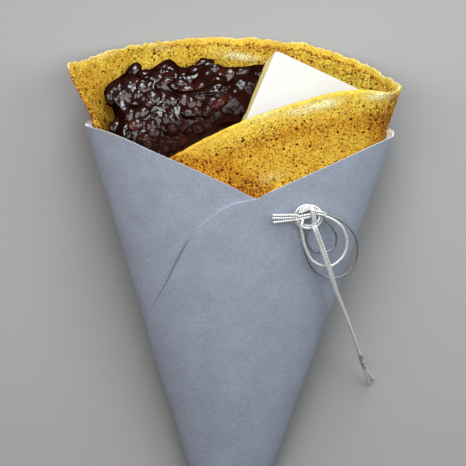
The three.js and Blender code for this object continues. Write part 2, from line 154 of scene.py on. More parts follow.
def on_plane(points):
    """Points (x, y, lift) on the plane that touches the sleeve's front at the knot, with lift added to z."""
    x, y, lift = np.asarray(points, float).T
    across = KNOT[0] / (HALF_WIDTH * KNOT[1])
    edge = math.sqrt(1 - across**2)
    front = DEPTH * (1 - WIDEST)
    height = cone_point(math.degrees(math.acos(across)), KNOT[1], -PAPER)[2] + CORD / 2 + CORD_CLEAR
    slope_x = -front * across / edge / HALF_WIDTH
    slope_y = DEPTH * WIDEST + front * edge + front * across**2 / edge
    return np.stack([x, y, height + slope_x * (x - KNOT[0]) + slope_y * (y - KNOT[1]) + lift], axis=1)


def distance_along(line):
    """Distance from the line's start to each of its points."""
    return np.concatenate([[0], np.cumsum(np.linalg.norm(np.diff(line, axis=0), axis=1))])


def smooth_line(points, step):
    """Line through the points: between each two a cubic whose slope at a point is half the chord of its
    neighbours, cut into equal steps."""
    points = np.asarray(points, float)
    knots = np.vstack([2 * points[0] - points[1], points, 2 * points[-1] - points[-2]])
    a, b, c, d = knots[:-3], knots[1:-2], knots[2:-1], knots[3:]
    t = np.linspace(0, 1, 24, endpoint=False)[:, None, None]
    line = b + (c - a) * t / 2 + (2 * a - 5 * b + 4 * c - d) * t**2 / 2 + (3 * b - a - 3 * c + d) * t**3 / 2
    line = np.vstack([line.transpose(1, 0, 2).reshape(-1, 3), points[-1:]])
    run = distance_along(line)
    even = np.linspace(0, run[-1], int(run[-1] / step) + 1)
    return np.stack([np.interp(even, run, line[:, k]) for k in range(3)], axis=1)


def smooth(x, low, high):
    """0 below low, 1 above high, and a smooth step between."""
    t = np.clip((np.asarray(x, float) - low) / (high - low), 0, 1)
    return t * t * (3 - 2 * t)


def loft(rings, **values):
    """Closed skin over rings of equal length: quads join each ring to the next, and a fan closes each end.
    Values given for the ring points become attributes; a fan's middle takes its ring's mean."""
    rows, count = rings.shape[:2]
    points = np.vstack([rings.reshape(-1, 3), rings[0].mean(axis=0), rings[-1].mean(axis=0)])
    here = np.arange(rows * count).reshape(rows, count)
    beside = np.roll(here, -1, axis=1)
    quads = np.stack([here[:-1], beside[:-1], beside[1:], here[1:]], axis=-1).reshape(-1, 4)
    first = np.stack([beside[0], here[0], np.full(count, rows * count)], axis=-1)
    last = np.stack([here[-1], beside[-1], np.full(count, rows * count + 1)], axis=-1)
    spread = {name: np.broadcast_to(value, (rows, count)) for name, value in values.items()}
    ends = {name: np.append(v.ravel(), [v[0].mean(), v[-1].mean()]) for name, v in spread.items()}
    return points, [quads, np.vstack([first, last])], ends


def volume(points, faces):
    """Signed volume: the sum over the faces' triangles of the mixed product of their corners, over six."""
    total = 0.0
    for group in faces:
        for k in range(1, group.shape[1] - 1):
            a, b, c = points[group[:, 0]], points[group[:, k]], points[group[:, k + 1]]
            total += np.einsum("ij,ij->", a, np.cross(b, c)) / 6
    return total


def make_piece(name, skins, finish, nodes, sharp=None):
    """One object from closed skins (points from the tip in millimetres, face groups, attributes), each
    turned outwards by the sign of its volume. It rides on the root body and stands for the nodes named."""
    points, faces, values, start = [], [], {}, 0
    for skin_points, skin_faces, skin_values in skins:
        inside_out = volume(skin_points, skin_faces) < 0
        for group in skin_faces:
            faces += ((group[:, ::-1] if inside_out else group) + start).tolist()
        points.append(skin_points)
        start += len(skin_points)
        for key, value in skin_values.items():
            values.setdefault(key, []).append(value)
    mesh = bpy.data.meshes.new(name)
    mesh.from_pydata((np.vstack(points) + TIP) * MM, [], faces)
    for key, value in values.items():
        mesh.attributes.new(key, "FLOAT", "POINT").data.foreach_set("value", np.concatenate(value))
    mesh.shade_smooth()
    if sharp:
        mesh.set_sharp_from_angle(angle=math.radians(sharp))
    mesh.materials.append(finish)
    piece = new_object(name, mesh)
    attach(piece, "root")
    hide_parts(*nodes)
    return piece


class Value:
    """A socket of a material. Sums and products of values add the Math nodes that work them out."""

    def __init__(self, tree, socket=None):
        self.tree = tree
        self.socket = socket

    def node(self, kind, settings=None, sockets=None, out=0):
        """New node: its settings first, then values or links for its sockets; gives the output asked for."""
        made = self.tree.nodes.new("ShaderNode" + kind)
        for name, value in (settings or {}).items():
            setattr(made, name, value)
        for name, value in (sockets or {}).items():
            if isinstance(value, Value):
                self.tree.links.new(value.socket, made.inputs[name])
            else:
                made.inputs[name].default_value = value
        return Value(self.tree, made.outputs[out] if made.outputs else None)

    def maths(self, operation, *operands, clamp=False):
        settings = {"operation": operation, "use_clamp": clamp}
        return self.node("Math", settings, dict(enumerate(operands)))

    def __add__(self, other):
        return self.maths("ADD", self, other)

    __radd__ = __add__

    def __mul__(self, other):
        return self.maths("MULTIPLY", self, other)

    __rmul__ = __mul__

    def __sub__(self, other):
        return self.maths("SUBTRACT", self, other)

    def __rsub__(self, other):
        return self.maths("SUBTRACT", other, self)

    def clamped(self):
        return self.maths("ADD", self, 0.0, clamp=True)

    def without_sign(self):
        return self.maths("ABSOLUTE", self)

    def or_higher(self, other):
        return self.maths("MAXIMUM", self, other)

    def step(self, low, high):
        """0 below low, 1 above high, and a smooth step between."""
        sockets = {"Value": self, "From Min": low, "From Max": high}
        return self.node("MapRange", {"interpolation_type": "SMOOTHSTEP"}, sockets)

    def blend(self, first, second):
        """First colour where the value is 0, second where it is 1."""
        colours = [c if isinstance(c, Value) else (*c, 1) for c in (first, second)]
        sockets = {0: self, 6: colours[0], 7: colours[1]}
        return self.node("Mix", {"data_type": "RGBA"}, sockets, out=2)

    def noise(self, place, size, detail=2.0, roughness=0.5):
        """Cloudy noise from 0 to 1, with lumps of that size in millimetres."""
        sockets = {"Vector": place, "Scale": 1 / (size * MM), "Detail": detail, "Roughness": roughness}
        return self.node("TexNoise", {}, sockets)

    def attribute(self, name):
        return self.node("Attribute", {"attribute_name": name}, out=2)

    def place(self):
        return self.node("TexCoord", out=3)


def new_finish(name):
    """Empty material, and a value to make its nodes from."""
    material = bpy.data.materials.new(name)
    material.use_nodes = True
    material.node_tree.nodes.clear()
    return material, Value(material.node_tree)


def set_shader(material, maker, colour, height=None, height_size=0.3, **constants):
    """Principled shader: what varies comes as values, and the same everywhere as numbers; height is relief
    in shares of height_size millimetres. Underscores in the names stand for spaces."""
    sockets = {"Base Color": colour if isinstance(colour, Value) else (*colour, 1)}
    for name, value in constants.items():
        sockets[name.replace("_", " ")] = value
    if height is not None:
        sockets["Normal"] = maker.node("Bump", {}, {"Height": height, "Distance": height_size * MM})
    shader = maker.node("BsdfPrincipled", {}, sockets)
    maker.node("OutputMaterial", {}, {"Surface": shader})
    return material


def silver_finish(name, film, between, metal):
    """Film wound round the cord: bright along each turn and dark in the groove between two."""
    material, maker = new_finish(name)
    groove = maker.attribute("groove")
    cloud = maker.noise(maker.place(), 1.3)
    colour = (groove * (0.6 + 0.5 * cloud)).clamped().blend(film, between)
    return set_shader(material, maker, colour, Metallic=metal, Roughness=0.2 + 0.2 * cloud)


def once_round(count):
    """Angles in equal steps once round."""
    return np.linspace(0, 2 * np.pi, count, endpoint=False)[None, :]


def rings_along(line, wide, high, angle):
    """Rings square to the line: ovals whose half width and half height may differ from place to place."""
    heading = unit(np.gradient(line, axis=0))
    side = unit(np.cross(heading, (0, 0, 1)))
    over = np.cross(side, heading)
    across = (wide * np.cos(angle))[..., None] * side[:, None]
    return line[:, None] + across + (high * np.sin(angle))[..., None] * over[:, None]


def wound_cord(line, diameter):
    """Circle carried along the line. Its radius sinks along a helix, a narrow groove with one turn of film
    for each pitch."""
    run = distance_along(line)[:, None]
    angle = once_round(CORD_SIDES)
    groove = (0.5 + 0.5 * np.cos(angle - 2 * np.pi * run / FILM_PITCH)) ** 4
    radius = diameter / 2 * (1.02 - FILM_GROOVE * groove)
    return loft(rings_along(line, radius, radius, angle), groove=groove)


silver = silver_finish("silver_film", SILVER, SILVER_GROOVE, 0.35)
# The large and small loops are the same cord as the others; their darker copy of the film is painted shade
# for how the light falls on them.
shaded_silver = silver_finish("shaded_silver_film", SHADED_SILVER, SHADED_SILVER_GROOVE, 0.8)


def free_cord(name, points, diameter, finish, node):
    """One cord, its route repeated from its CAD tube."""
    line = smooth_line(points, CORD_STEP)
    piece = make_piece(name, [wound_cord(line, diameter)], finish, [node])


free_cord("large_loop", on_plane(LARGE_LOOP), 0.75, shaded_silver, "cord_loop_large")
free_cord("small_loop", on_plane(SMALL_LOOP), 0.85, shaded_silver, "cord_loop_small")
free_cord("middle_loop", on_plane(MIDDLE_LOOP), 1.05, silver, "cord_loop_middle")


def tail_route(side):
    """Middle line of the pair moved half their distance to one side, more and more up or down where the pair
    stands on edge, and on to that end's own tip."""
    on_edge = np.radians(TAIL_ON_EDGE)[:, None]
    level = np.array([math.cos(TAIL_TURN), math.sin(TAIL_TURN), 0])
    apart = side * TAIL_SPREAD * (np.cos(on_edge) * level - np.sin(on_edge) * np.array([0, 0, 1]))
    return np.vstack([np.array([TAIL_START, *TAIL]) + apart, TAIL_TIPS[0 if side < 0 else 1]])


def thread_finish():
    """Fine grey thread with a slight shine along each turn."""
    material, maker = new_finish("binding_thread")
    cloud = maker.noise(maker.place(), 0.4)
    return set_shader(material, maker, cloud.step(0.42, 0.58).blend(THREAD, THREAD_PALE), Roughness=0.45)


def thread_winding():
    """Oval tube round both cords, closed at both ends: it swells at each turn of thread as the size of a
    sine does."""
    pair = [smooth_line(tail_route(side), THREAD_STEP) for side in (-1, 1)]
    count = min(len(line) for line in pair)
    middle = (pair[0][:count] + pair[1][:count]) / 2
    line = middle[int(BINDING_SHARE[0] * count):int(BINDING_SHARE[1] * count)]
    bulge = THREAD_BULGE * np.abs(np.sin(np.arange(len(line)) * THREAD_STEP * np.pi / THREAD_PITCH))
    closing = np.sin(np.linspace(0, np.pi, len(line)))[:, None] ** 0.12
    wide = (BINDING_WIDE + bulge[:, None]) * closing
    high = (CORD / 2 + TAIL_SPREAD + bulge[:, None]) * closing
    return loft(rings_along(line, wide, high, once_round(2 * CORD_SIDES)))


winding = make_piece("tail_winding", [thread_winding()], thread_finish(), ["tail_binding"])
free_cord("left_tail", tail_route(-1), CORD, silver, "cord_tail_left")
free_cord("right_tail", tail_route(1), CORD, silver, "cord_tail_right")


def knot_strands():
    """Routes of the flat knot (x, y, lift): a cord runs round the outer ring twice beside itself, up and
    down three times a round, doubled runs cross inside it, and three cut ends lie side by side."""
    angle = math.radians(200) + np.linspace(0, 4 * np.pi - 0.1, 97)
    track = 0.5 - smooth(angle, angle[0] + 1.6 * np.pi, angle[0] + 2.3 * np.pi)
    ring = np.stack([
        KNOT[0] + (KNOT_HALF[0] + track) * np.cos(angle),
        KNOT[1] + (KNOT_HALF[1] + track) * np.sin(angle),
        1 + 0.45 * np.sin(3 * angle) * np.sign(track),
    ], axis=1)
    inner = [
        [(27.4, 147.5, 1.2), (27.9, 146.0, 2.0), (28.4, 143.8, 2.2), (28.7, 141.9, 2.1), (28.3, 140.0, 1.3)],
        [(28.1, 147.6, 1.2), (28.6, 146.0, 2.0), (29.2, 143.8, 2.2), (29.5, 141.7, 2.0), (29.0, 139.9, 1.3)],
        [(22.3, 143.7, 1.0), (23.6, 143.8, 1.7), (25.6, 144.3, 2.0), (28.2, 144.9, 1.3)],
        [(22.4, 142.7, 1.0), (23.8, 142.8, 1.7), (25.8, 143.3, 1.9), (28.0, 143.9, 1.2)],
        [(22.9, 145.3, 1.1), (24.2, 145.4, 1.9), (25.9, 146.2, 2.0), (27.6, 147.0, 1.3)],
        [(23.4, 146.2, 1.1), (24.6, 146.3, 1.9), (26.1, 147.0, 1.9), (27.4, 147.9, 1.2)],
        [(29.4, 145.9, 1.4), (30.8, 145.8, 2.1), (32.2, 145.5, 2.1), (33.3, 145.0, 0.9)],
        [(29.6, 144.9, 1.3), (30.9, 144.8, 2.1), (32.3, 144.5, 2.1), (33.4, 144.0, 1.6)],
        [(24.9, 143.2, 1.4), (24.6, 141.8, 2.6), (24.3, 140.3, 3.1), (24.2, 138.9, 2.9)],
    ]
    stubs = [
        [(22.8, 144.1, 1.5), (20.6, 144.2, 1.3), (17.2, 144.0, 1.1), (13.3, 143.9, 0.9)],
        [(22.8, 143.2, 1.2), (20.6, 143.2, 1.1), (17.2, 142.9, 1.0), (13.2, 142.8, 0.8)],
        [(22.8, 142.6, 0.9), (20.6, 142.2, 0.9), (17.2, 141.7, 0.9), (13.5, 141.2, 0.7)],
    ]
    return [ring, *inner, *stubs]


strands = [wound_cord(smooth_line(on_plane(route), CORD_STEP), CORD * 1.04) for route in knot_strands()]
make_piece("cord_ornament_knot", strands, silver, ["cord_knot"])

# Paper sleeve ------------------------
# A round-edged sheet of heavy blue-grey paper with a white inside, wound into a flat cone. Its mouth falls
# in a V in front, and its free edge crosses the front from the foot of the V down to the left side.
SHEET_RADIUS = 187.5
FLAP_END = 20  # turn where the outer layer has come down to the layer under it
FLAP_LOW = 0.4  # share of the way to the mouth where the free edge begins
OVERLAP = 14  # degrees that the inner layer runs on under the free edge
SLEEVE_TIP = 2
RIM_HEIGHT = 170  # about how far the mouth's edge is from the tip
ABOVE_WALL = 0.04  # of the outer layer where it has come down, and less where it runs on under the edge
UNDER_EDGE = 0.02
UNDER_FROM = 355  # degrees of winding
WALL_WAVE = 0.12
CORNER_CURL = 2.4  # how far the inside curls in at both corners of the mouth
FRONT_RIM = [
    (-1, 175.9), (-0.84, 173.2), (-0.55, 165.8), (-0.07, 154.8), (0.1, 150.7), (0.155, 150.1), (0.2, 151.7),
    (0.34, 155.3), (0.67, 164.5), (0.92, 172.4), (1, 175),
]
FLAP_EDGE = [
    (0.4, 225), (0.585, 165), (0.628, 148), (0.679, 135), (0.747, 124), (0.844, 111), (0.949, 94), (1, 82),
]
BLUE_GREY = (0.297, 0.332, 0.404)
PAPER_WHITE = (0.94, 0.96, 0.98)
# Painted shadow in the slit under the lower half of the free edge.
SLIT_SHADOW_GREY = (0.15, 0.17, 0.21)
RIM_WHITE = 0.38  # how much of the white core shows along the mouth, and along the free edge
EDGE_WHITE = 0.33
EDGE_TURNS_BRIGHT = (129, 142)  # heights between which the free edge starts to catch the light
EDGE_GOES_ROUND = (95, 103)  # and those between which it goes round the left side


def curve_through(knots, x):
    """Smooth curve through knots (x, y): between each two a cubic whose slope at a knot is that of the chord
    of its neighbours."""
    knots = np.asarray(knots, float)
    x = np.asarray(x, float)
    i = np.clip(np.searchsorted(knots[:, 0], x, side="left") - 1, 0, len(knots) - 2)
    each = np.arange(len(knots))
    before = np.maximum(each - 1, 0)
    after = np.minimum(each + 1, len(knots) - 1)
    slope = (knots[after, 1] - knots[before, 1]) / (knots[after, 0] - knots[before, 0])
    span = knots[i + 1, 0] - knots[i, 0]
    t = np.clip((x - knots[i, 0]) / span, 0, 1)
    lean = t * (1 - t) * span
    return (
        knots[i, 1] + (knots[i + 1, 1] - knots[i, 1]) * t * t * (3 - 2 * t)
        + lean * ((1 - t) * slope[i] - t * slope[i + 1])
    )


def bell(x, middle, half):
    """1 in the middle, falling on both sides as the bell curve of that half width."""
    return np.exp(-(((x - middle) / half) ** 2))


def mix(a, b, t):
    """a where t is 0, b where it is 1."""
    return a + (b - a) * t


def ripple(place, length, seed, waves=9):
    """Sum of sine waves of about that length, of random heading and phase, from about -1 to 1."""
    draw = np.random.default_rng(seed)
    heading = unit(draw.normal(size=(waves, 3))) / (length * draw.uniform(0.7, 1.5, (waves, 1)))
    phase = draw.uniform(0, 2 * np.pi, waves)
    turns = np.einsum("...k,nk->...n", place, heading)
    return np.sin(2 * np.pi * turns + phase).sum(axis=-1) / math.sqrt(waves)


def sleeve_rim(turn):
    """Distance of the mouth's edge from the tip: the V in front, and behind the round edge of the sheet."""
    behind = SHEET_RADIUS / np.linalg.norm(cone_point(turn, 1.0, 0.0), axis=-1)
    in_front = curve_through(FRONT_RIM, np.cos(np.radians(turn)))
    return np.where(np.sin(np.radians(turn)) >= 0, in_front, behind)


def two_paces(first, between, last, before, after):
    """From first to last, with that many places up to the value between, and that many from there on."""
    return np.concatenate([np.linspace(first, between, before)[:-1], np.linspace(between, last, after)])


def sleeve_skin():
    """Both faces of the wound sheet over a grid of winding and of the share of the way to the rim. It
    starts at the free edge, a paper's thickness above the wall, sinks to the wall, goes round behind, and
    ends under the free edge. Slow waves run through it, and its inside curls in at the mouth's corners."""
    share = two_paces(SLEEVE_TIP / RIM_HEIGHT, 0.36, 1, 24, 147)[:, None]
    start = curve_through(FLAP_EDGE, np.maximum(share, FLAP_LOW))
    start = np.where(share > FLAP_LOW, start, FLAP_EDGE[0][1])
    winding = (np.linspace(0, 1, 420) * (360 + OVERLAP))[None, :]
    turn = start - winding
    lift = PAPER * (1 - smooth(winding, 0, 0.9 * (start - FLAP_END))) + ABOVE_WALL
    lift = lift * smooth(share, FLAP_LOW - 0.06, FLAP_LOW + 0.1) - UNDER_EDGE * (winding > UNDER_FROM)
    along = share * sleeve_rim(turn % 360)
    flat = cone_point(turn % 360, along, 0.0)
    lift = lift + WALL_WAVE * ripple(flat, 45, 3) * smooth(along, 20, 60)
    height = np.sin(np.radians(turn))
    past_side = np.where(height < 0, np.abs(np.degrees(np.arcsin(height))), 0)
    curl = smooth(past_side, 0.2, 1.8) * (1 - smooth(past_side, 9, 16)) * smooth(share, 0.9, 0.96)
    outer = cone_point(turn % 360, along, -lift)
    inner = cone_point(turn % 360, along, PAPER * 0.9 - lift + CORNER_CURL * curl)
    return outer, inner


def shell(outer, inner, **values):
    """Closed skin of a sheet: its outer grid, its inner grid, and strips between their borders. Each value
    is a pair, for the outer and the inner grid."""
    rows, columns = outer.shape[:2]
    here = np.arange(rows * columns).reshape(rows, columns)
    quads = np.stack([here[:-1, :-1], here[:-1, 1:], here[1:, 1:], here[1:, :-1]], axis=-1).reshape(-1, 4)
    round_border = np.concatenate([here[0, :-1], here[:-1, -1], here[-1, :0:-1], here[:0:-1, 0]])
    following = np.roll(round_border, -1)
    under = rows * columns
    strip = np.stack([following, round_border, round_border + under, following + under], axis=-1)
    faces = [quads, quads[:, ::-1] + under, strip]
    points = np.vstack([outer.reshape(-1, 3), inner.reshape(-1, 3)])
    kept = {}
    for name, pair in values.items():
        kept[name] = np.concatenate([np.broadcast_to(v, (rows, columns)).ravel() for v in pair])
    return points, faces, kept


def slit_shade(face):
    """Painted shadow of the slit under the free edge: 1 along its lower half, two bells over the winding,
    one on the sheet's own border and one on the layer close beside it."""
    winding = np.linspace(0, 360 + OVERLAP, face.shape[1])[None, :]
    height = face[:, :1, 1]
    low = (1 - smooth(height, *EDGE_TURNS_BRIGHT)) * smooth(height, *EDGE_GOES_ROUND)
    return (bell(winding, 0, 0.7) + bell(winding, 359.7, 0.8)) * low


def paper_finish():
    """Dyed outside with a fine felt grain and faint clouds; undyed white inside and along the cut edges; a
    painted shadow along the lower half of the free edge.
    """
    material, maker = new_finish("blue_grey_paper")
    place = maker.place()
    felt = maker.noise(place, 0.9, 3, 0.75)
    cloud = maker.noise(place, 9, 2)
    dyed = (0.7 * felt + 0.3 * cloud).step(0.25, 0.75).blend(
        tuple(c * 0.82 for c in BLUE_GREY), tuple(c * 1.18 for c in BLUE_GREY)
    )
    colour = maker.attribute("inside").step(0.2, 0.5).blend(dyed, PAPER_WHITE)
    # Painted shadow along the slit under the free edge.
    colour = maker.attribute("slit").step(0.3, 1.0).blend(colour, SLIT_SHADOW_GREY)
    return set_shader(material, maker, colour, felt, 0.05, Roughness=0.82)


outer_face, inner_face = sleeve_skin()
cut_edge = np.zeros(outer_face.shape[:2])
cut_edge[-1] = RIM_WHITE
# Along the free edge the white core shows only where the edge catches the light: the core's own white, kept
# as a painted highlight.
cut_edge[:, 0] = EDGE_WHITE * smooth(outer_face[:, 0, 1], *EDGE_TURNS_BRIGHT)
slit = slit_shade(outer_face)
sleeve_sheet = shell(outer_face, inner_face, inside=(cut_edge, 1.0), slit=(slit, slit))
make_piece("wound_sleeve", [sleeve_sheet], paper_finish(), ["paper_sleeve"], sharp=40)

# Crepe ------------------------
# A thin pancake folded double and rolled: the fan behind shows its inner face and, below its ragged rim, the
# rim of the second layer; the fold in front runs from the right side down to the left.
LAYER = 1.4
LEFT_LAYER = 0.85  # each layer's thickness along the left side
LIP_SHARE = 0.47  # radius of a cut edge, as a share of its layer's thickness
PAPER_GAP = 0.5
CREPE_TIP = 27
POCKET_FLOOR = 112
SIDE_SLACK = 2.3  # extra room between crepe and paper at the two sides of the mouth
CORNER_FLARE = 3.8  # how far the left corner leans out past the cone
GROOVE_DEPTH = 2.0
SWELL = 0.5  # height of the slow waves inside
# Height, length and seed of the waves of the ragged rim, of the step between its layers, and of the faces.
RIM_WAVES = [(0.35, 11, 21), (0.3, 4.5, 22), (0.2, 2.1, 23), (0.12, 1.1, 28)]
STEP_WAVES = [(0.28, 9, 26), (0.2, 2.6, 27)]
FACE_WAVES = [(0.13, 2.4, 31), (0.1, 1.2, 32)]
CREPE_RIM = [
    (-14, 196), (-7, 195.2), (0, 194.4), (9, 193.5), (17, 191.9), (26, 191.7), (43, 192.2), (58, 190.2),
    (83, 181.8), (104, 171.9), (120, 164.6), (150, 158), (166, 164), (176, 180), (190, 198.3), (199, 199.6),
    (207, 201.5), (243, 208.9), (270, 211), (290, 209.6), (319, 200.8), (334, 196.8), (346, 194.8),
    (353, 194.4), (360, 194.4),
]
FAN_TURNS = (184, 374)  # stretch of the rim with two ragged edges, on past the right corner
GROOVE_TURN = 16.5  # where the front fold ends against the strip that comes round from behind
GOLDEN = (0.85, 0.63, 0.080)
DEEP_GOLDEN = (0.69, 0.34, 0.020)
FAN_GOLDEN = (0.81, 0.655, 0.084)
FAN_DEEP = (0.57, 0.345, 0.024)
SPECK = (0.40, 0.15, 0.004)
TOASTED_AND_SHADE_BROWN = (0.23, 0.062, 0.004)
PALE_CRUMB_AND_SHEEN = (0.98, 0.92, 0.50)
PORE = (0.11, 0.02, 0.001)
# Browned patches, and pale patches that are painted highlights, of the front fold and of the fan: middle,
# half sizes, lean in degrees, strength.
FOLD_BROWNED = [
    (7, 171.5, 13, 2.6, 18, 0.8), (31, 177.8, 14, 2.4, 14, 0.7), (53.5, 180.5, 7, 4.5, 8, 1.2),
    (4.8, 151.5, 6.5, 5.5, 0, 2.2), (57.9, 190.2, 1.7, 4.2, 20, 2.0), (57.2, 181.5, 2.4, 7, 15, 0.5),
    (-25, 163.5, 10, 4.2, -20, 1.0), (-9, 161.5, 10, 4.5, -24, 0.9),
]
FOLD_SHEEN = [
    (24, 184, 8, 1.8, 14, 0.95), (33.5, 187, 5, 1.7, 14, 0.95), (52.5, 190.3, 6, 1.9, 6, 1.0),
    (9, 181, 7, 2, 22, 0.5), (12, 158, 5, 2.5, 20, 0.35),
]
FAN_BROWNED = [
    (-52, 176.5, 5, 7, 0, 1.0), (9.5, 201.5, 3, 2.6, 0, 0.9), (47, 195, 13, 3, -25, 0.6),
    (-36, 204, 9, 1, 0, 0.4), (8, 207.5, 14, 1.2, -4, 0.45), (-57, 190, 6, 9, 20, 0.45),
    (-22, 204, 24, 4.5, -3, 0.28), (20, 205, 12, 4, -20, 0.3),
]
FAN_SHEEN = [(-1, 204, 7.5, 1.6, -8, 1.0), (-31, 206.5, 6, 1.4, 5, 0.4), (-52, 203.5, 5, 1.8, 20, 0.4)]


def waves_of(place, listed):
    """Sum of ripples, each with its height, length and seed."""
    return sum(height * ripple(place, length, seed) for height, length, seed in listed)


def onward(turn):
    """Turn counted on past 360 beyond the right side, so that the stretch behind is one run."""
    return np.where(turn < 90, turn + 360, turn)


def ragged_share(turn, fade):
    """1 on the stretch with two ragged edges, 0 on the fold, fading over that many degrees at its ends."""
    first, last = FAN_TURNS
    return smooth(onward(turn), first, first + fade) * (1 - smooth(onward(turn), last - fade, last))


def crepe_rim(turn):
    """Distance of the crepe's edge from the tip: a smooth curve, ragged behind by waves and by the tips of
    one more."""
    rim = curve_through(CREPE_RIM, turn)
    behind = ragged_share(turn, 5)
    edge = cone_point(turn, rim, 1.0)
    ragged = waves_of(edge, RIM_WAVES) + 0.8 * np.maximum(ripple(edge, 1.8, 25) - 1.2, 0)
    return rim + behind * ragged + (1 - behind) * 0.12 * ripple(edge, 3, 24)


def crepe_inset(turn, along):
    """Distance of the crepe's outside from the cone: a gap to the paper, slack at both sides of the mouth,
    and less at the left corner, which leans out."""
    side = np.abs(np.cos(np.radians(turn))) ** 6
    left = np.where(np.cos(np.radians(turn)) < 0, side, 0)
    slack = SIDE_SLACK * side * smooth(along, 140, 175)
    flare = (CORNER_FLARE + SIDE_SLACK * 0.5) * left * smooth(along, 176, 202)
    return PAPER + PAPER_GAP + slack - flare


def layer_thickness(turn):
    """One layer's thickness: thinner along the left side."""
    return mix(LAYER, LEFT_LAYER, bell(turn, 184, 26))


def layer_step(turn):
    """How far the second layer's rim lies below the first one's: hardly on the left, and about 3 mm, in
    waves, on the right."""
    waves = waves_of(cone_point(turn, 200.0, 1.0), STEP_WAVES)
    return mix(0.7, 3.0 + waves, smooth(onward(turn), 238, 256))


def patches(x, y, listed):
    """Sum of soft ovals, each a bell over the distance from its middle along its own two axes."""
    total = np.zeros(np.broadcast(x, y).shape)
    for middle_x, middle_y, half_x, half_y, lean, strength in listed:
        c, s = math.cos(math.radians(lean)), math.sin(math.radians(lean))
        across = ((x - middle_x) * c + (y - middle_y) * s) / half_x
        up = ((y - middle_y) * c - (x - middle_x) * s) / half_y
        total += strength * np.exp(-(across**2 + up**2))
    return total


def crepe_skin():
    """Grid of turn and of the way up the outside, over the rim and down the inside. The rim's profile is two
    round lips, one for each layer, and one wide round fold in front; both are blended by the turn. Waves of
    three lengths, a bubble in the fan and the groove beside the fold move the faces in and out."""
    turn = np.concatenate([
        np.linspace(0, FAN_TURNS[1] - 360, 40, endpoint=False),
        np.linspace(FAN_TURNS[1] - 360, FAN_TURNS[0], 166, endpoint=False),
        np.linspace(FAN_TURNS[0], 360, 440, endpoint=False),
    ])[None, :]
    columns = turn.shape[1]
    rim = crepe_rim(turn)
    step = layer_step(turn)
    layer = layer_thickness(turn)
    up = two_paces(0, 0.72, 1, 10, 40)[:, None]
    down = two_paces(1, 0.62, 0, 44, 7)[:, None]
    lip = np.linspace(0, np.pi, 8)[:, None]
    band = np.linspace(0, 1, 6)[1:, None]
    radius = layer * LIP_SHARE
    cut_below = np.vstack([
        radius * (1 - np.sin(lip)),
        mix(radius, step, band),
        step + radius * 0.9 * (1 - np.sin(lip)),
    ])
    cut_depth = np.vstack([
        radius * (1 - np.cos(lip)),
        2 * radius + 0 * band,
        mix(2 * radius, 2 * layer, (1 - np.cos(lip)) / 2),
    ])
    fold_angle = np.linspace(0, np.pi, len(cut_below))[:, None]
    folded = 1 - ragged_share(turn, 5)
    below = mix(cut_below, layer * (1 - np.sin(fold_angle)), folded)
    depth = mix(cut_depth, layer * (1 - np.cos(fold_angle)), folded)
    outside_along = mix(CREPE_TIP, rim - below[0], up)
    inside_along = mix(POCKET_FLOOR, rim - below[-1], down)
    along = np.vstack([outside_along, (rim - below)[1:-1], inside_along])
    depth = np.vstack([np.zeros_like(outside_along), depth[1:-1], 2 * layer * np.ones_like(inside_along)])
    turn = np.broadcast_to(turn, (len(along), columns))
    inward = smooth(depth / (2 * layer), 0, 1)
    place = cone_point(turn, along, crepe_inset(turn, along) + depth)
    free = smooth(along, 150, 172)
    groove = GROOVE_DEPTH * bell(turn, GROOVE_TURN, 1.3) * smooth(along, 181, 189) * (1 - inward)
    relief = free * waves_of(place, FACE_WAVES)
    swell = free * SWELL * ripple(place, 17, 33) * smooth(rim - along, 0, 3)
    bubble = 0.8 * bell(place[..., 0], -2.7, 0.9) * bell(place[..., 1], 209.3, 0.9) * inward
    depth = depth + swell * inward + relief * (2 * inward - 1) + bubble + groove
    place = cone_point(turn, along, crepe_inset(turn, along) + depth)
    return place, turn, along, rim, inward, step


